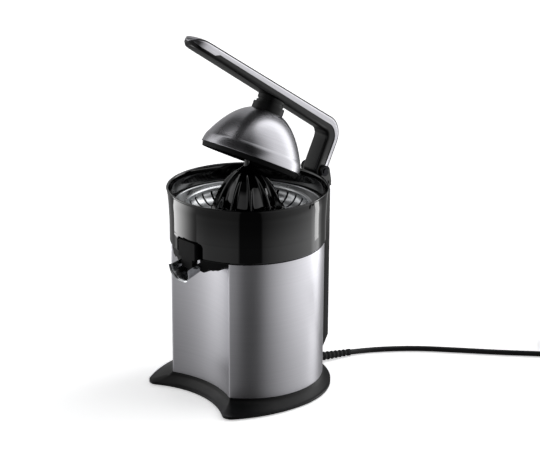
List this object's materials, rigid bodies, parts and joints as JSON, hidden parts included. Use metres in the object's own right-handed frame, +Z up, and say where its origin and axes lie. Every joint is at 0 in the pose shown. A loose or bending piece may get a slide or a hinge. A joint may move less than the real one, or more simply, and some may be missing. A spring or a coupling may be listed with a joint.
{
  "type": "lever citrus juice press",
  "caption": "Electric citrus press with a steel-wrapped body, hinged pressing lever with dome, fluted cone in a strainer bowl, tilting spout and a mains cord.",
  "frame": {"origin": "on the table under the body's axis, in the plane of the anti-slip ring's underside", "axes": "+Z up along the body and cone axis; -Y towards the spout and the lever's handle; +X to the right seen from the front"},
  "size_m": [0.365, 0.4716, 0.3901],
  "materials": {
    "brushed_steel": "fine brushed stainless steel",
    "polished_steel": "polished stainless steel",
    "zinc_steel": "zinc-plated steel fastener",
    "motor_steel": "pressed sheet steel",
    "satin_black": "satin black plastic",
    "gloss_black": "gloss black plastic",
    "inner_black": "moulded black plastic, unpolished",
    "black_cast": "cast metal, black painted",
    "gear_white": "natural acetal gear plastic",
    "black_rubber": "soft black rubber",
    "grey_seal": "grey silicone seal",
    "bronze": "sintered bronze bush",
    "copper": "copper commutator bars",
    "ferrite": "ferrite magnet",
    "core_steel": "laminated core steel",
    "cord_black": "black cord sheath",
    "pin_metal": "nickel-plated brass pins"
  },
  "bodies": {
    "housing": {"anti_slip_ring": "black_rubber", "base_foot": "satin_black", "bottom_cover": "inner_black", "cord_coil": "cord_black", "cord_run": "cord_black", "cover_screws": "zinc_steel", "fork_screws": "zinc_steel", "gearbox_cover": "inner_black", "gearbox_housing": "inner_black", "gearbox_screws": "zinc_steel", "hinge_clips": "zinc_steel", "hinge_fork": "black_cast", "hinge_pin": "polished_steel", "housing_screws": "zinc_steel", "idler_axle": "polished_steel", "juice_bowl": "gloss_black", "micro_switch": "inner_black", "motor_bushes": "bronze", "motor_can": "motor_steel", "motor_end_cap": "inner_black", "motor_magnets": "ferrite", "motor_screws": "zinc_steel", "output_bush": "bronze", "plug_body": "cord_black", "plug_pins": "pin_metal", "shaft_seal": "grey_seal", "spine_cover": "satin_black", "spine_screws": "zinc_steel", "spout_fairing": "satin_black", "spout_outlet": "gloss_black", "spout_pins": "polished_steel", "steel_shell": "brushed_steel", "strain_relief": "black_rubber", "strainer": "polished_steel", "terminal_block": "inner_black", "top_deck": "satin_black"},
    "lever": {"lever_cover": "brushed_steel", "lever_core": "satin_black", "lever_screws": "zinc_steel", "hinge_bushes": "bronze", "dome_neck": "satin_black", "dome_collar": "satin_black", "dome_shell": "brushed_steel", "dome_liner": "satin_black", "dome_screw": "polished_steel"},
    "output": {"output_gear": "gear_white", "hub_clip": "zinc_steel", "spindle_spring": "zinc_steel"},
    "spindle": {"drive_shaft": "polished_steel", "reamer": "gloss_black"},
    "idler": {"idler_gear": "gear_white"},
    "rotor": {"rotor_shaft": "polished_steel", "rotor_core": "core_steel", "commutator": "copper", "motor_pinion": "bronze", "cooling_fan": "inner_black"},
    "plunger": {"switch_plunger": "gear_white"},
    "spout": {"spout_flap": "brushed_steel"}
  },
  "joints": [
    {"name": "lever_hinge", "type": "hinge", "parent": "housing", "child": "lever", "pos_m": [0, 0.0965, 0.2175], "axis": [1, 0, 0], "range_deg": [-38, 27]},
    {"name": "output_spin", "type": "hinge", "parent": "housing", "child": "output", "pos_m": [0, 0, 0.14], "axis": [0, 0, 1], "continuous": true},
    {"name": "idler_spin", "type": "hinge", "parent": "housing", "child": "idler", "pos_m": [0, 0.0288, 0.13], "axis": [0, 0, 1], "continuous": true},
    {"name": "rotor_spin", "type": "hinge", "parent": "housing", "child": "rotor", "pos_m": [0, 0, 0.1], "axis": [0, 0, 1], "continuous": true},
    {"name": "spindle_press", "type": "slide", "parent": "output", "child": "spindle", "axis": [0, 0, -1], "range_m": [0, 0.002], "stiffness_N_per_m": 3000, "springref_m": -0.002, "deforming": ["spindle_spring"]},
    {"name": "switch_press", "type": "slide", "parent": "housing", "child": "plunger", "axis": [0, 0, -1], "range_m": [0, 0.002]},
    {"name": "spout_tilt", "type": "hinge", "parent": "housing", "child": "spout", "pos_m": [0, -0.0782, 0.1513], "axis": [-1, 0, 0], "range_deg": [0, 30]}
  ],
  "couplings": [
    {"joint": "idler_spin", "follows": "output_spin", "ratio": -5},
    {"joint": "rotor_spin", "follows": "output_spin", "ratio": 25},
    {"joint": "switch_press", "follows": "spindle_press", "ratio": 1}
  ]
}
